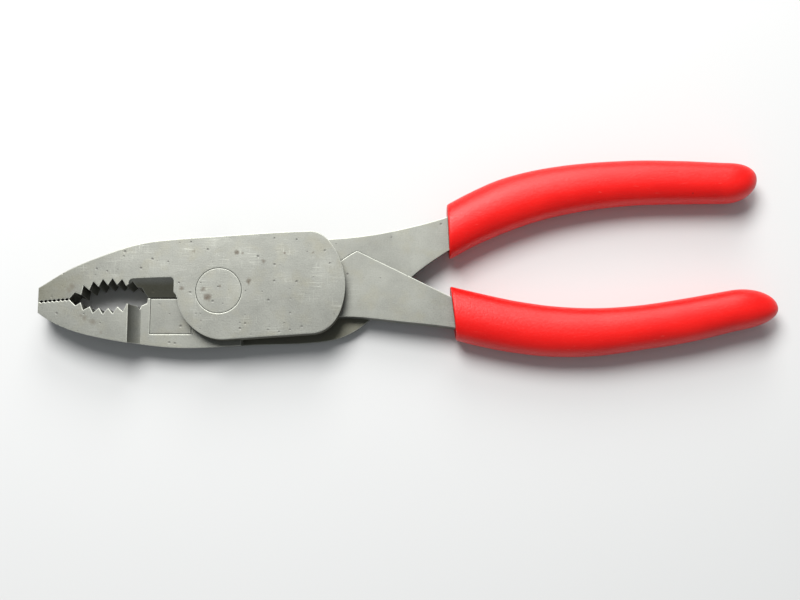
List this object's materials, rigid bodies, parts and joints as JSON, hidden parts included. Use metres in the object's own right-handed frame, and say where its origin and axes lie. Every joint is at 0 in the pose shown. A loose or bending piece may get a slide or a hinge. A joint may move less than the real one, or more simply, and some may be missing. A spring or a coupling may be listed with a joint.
{
  "type": "compound leverage pliers",
  "caption": "Compound leverage combination pliers with serrated jaws, a wire cutting pocket, a large cheek plate and red dipped grips.",
  "frame": {"origin": "on the main pivot's axis, in the back face that the pliers lie on", "axes": "+X from the nose to the handles, +Y to the upper handle, +Z out of the front face with the cheek"},
  "size_m": [0.2151, 0.0584, 0.0128],
  "materials": {
    "forged_steel": "satin nickel grey, finely ground on the cheek, light rust spots",
    "pin_steel": "ground flush",
    "cutter_steel": "hardened, slightly darker",
    "red_vinyl": "dipped vinyl, satin gloss with a fine grain"
  },
  "bodies": {
    "frame": {"lower_jaw_and_handle": "forged_steel", "pivot_bush": "pin_steel", "fulcrum_pin": "pin_steel", "cutter_insert": "cutter_steel", "insert_pin": "pin_steel", "upper_grip": "red_vinyl"},
    "lever": {"lower_handle": "forged_steel", "fulcrum_bush": "pin_steel", "drive_pin": "pin_steel", "lower_grip": "red_vinyl"},
    "jaw": {"upper_jaw": "forged_steel", "jaw_pivot_pin": "pin_steel", "pivot_collar": "pin_steel"}
  },
  "joints": [
    {"name": "lever_swing", "type": "hinge", "parent": "frame", "child": "lever", "pos_m": [0.01544, -0.00135, 0], "axis": [0, 0, 1], "range_deg": [-50, 0]},
    {"name": "jaw_swing", "type": "hinge", "parent": "frame", "child": "jaw", "pos_m": [0, 0, 0], "axis": [0, 0, 1], "range_deg": [-25, 0]}
  ],
  "couplings": [
    {"joint": "jaw_swing", "follows": "lever_swing", "ratio": 0.5}
  ]
}
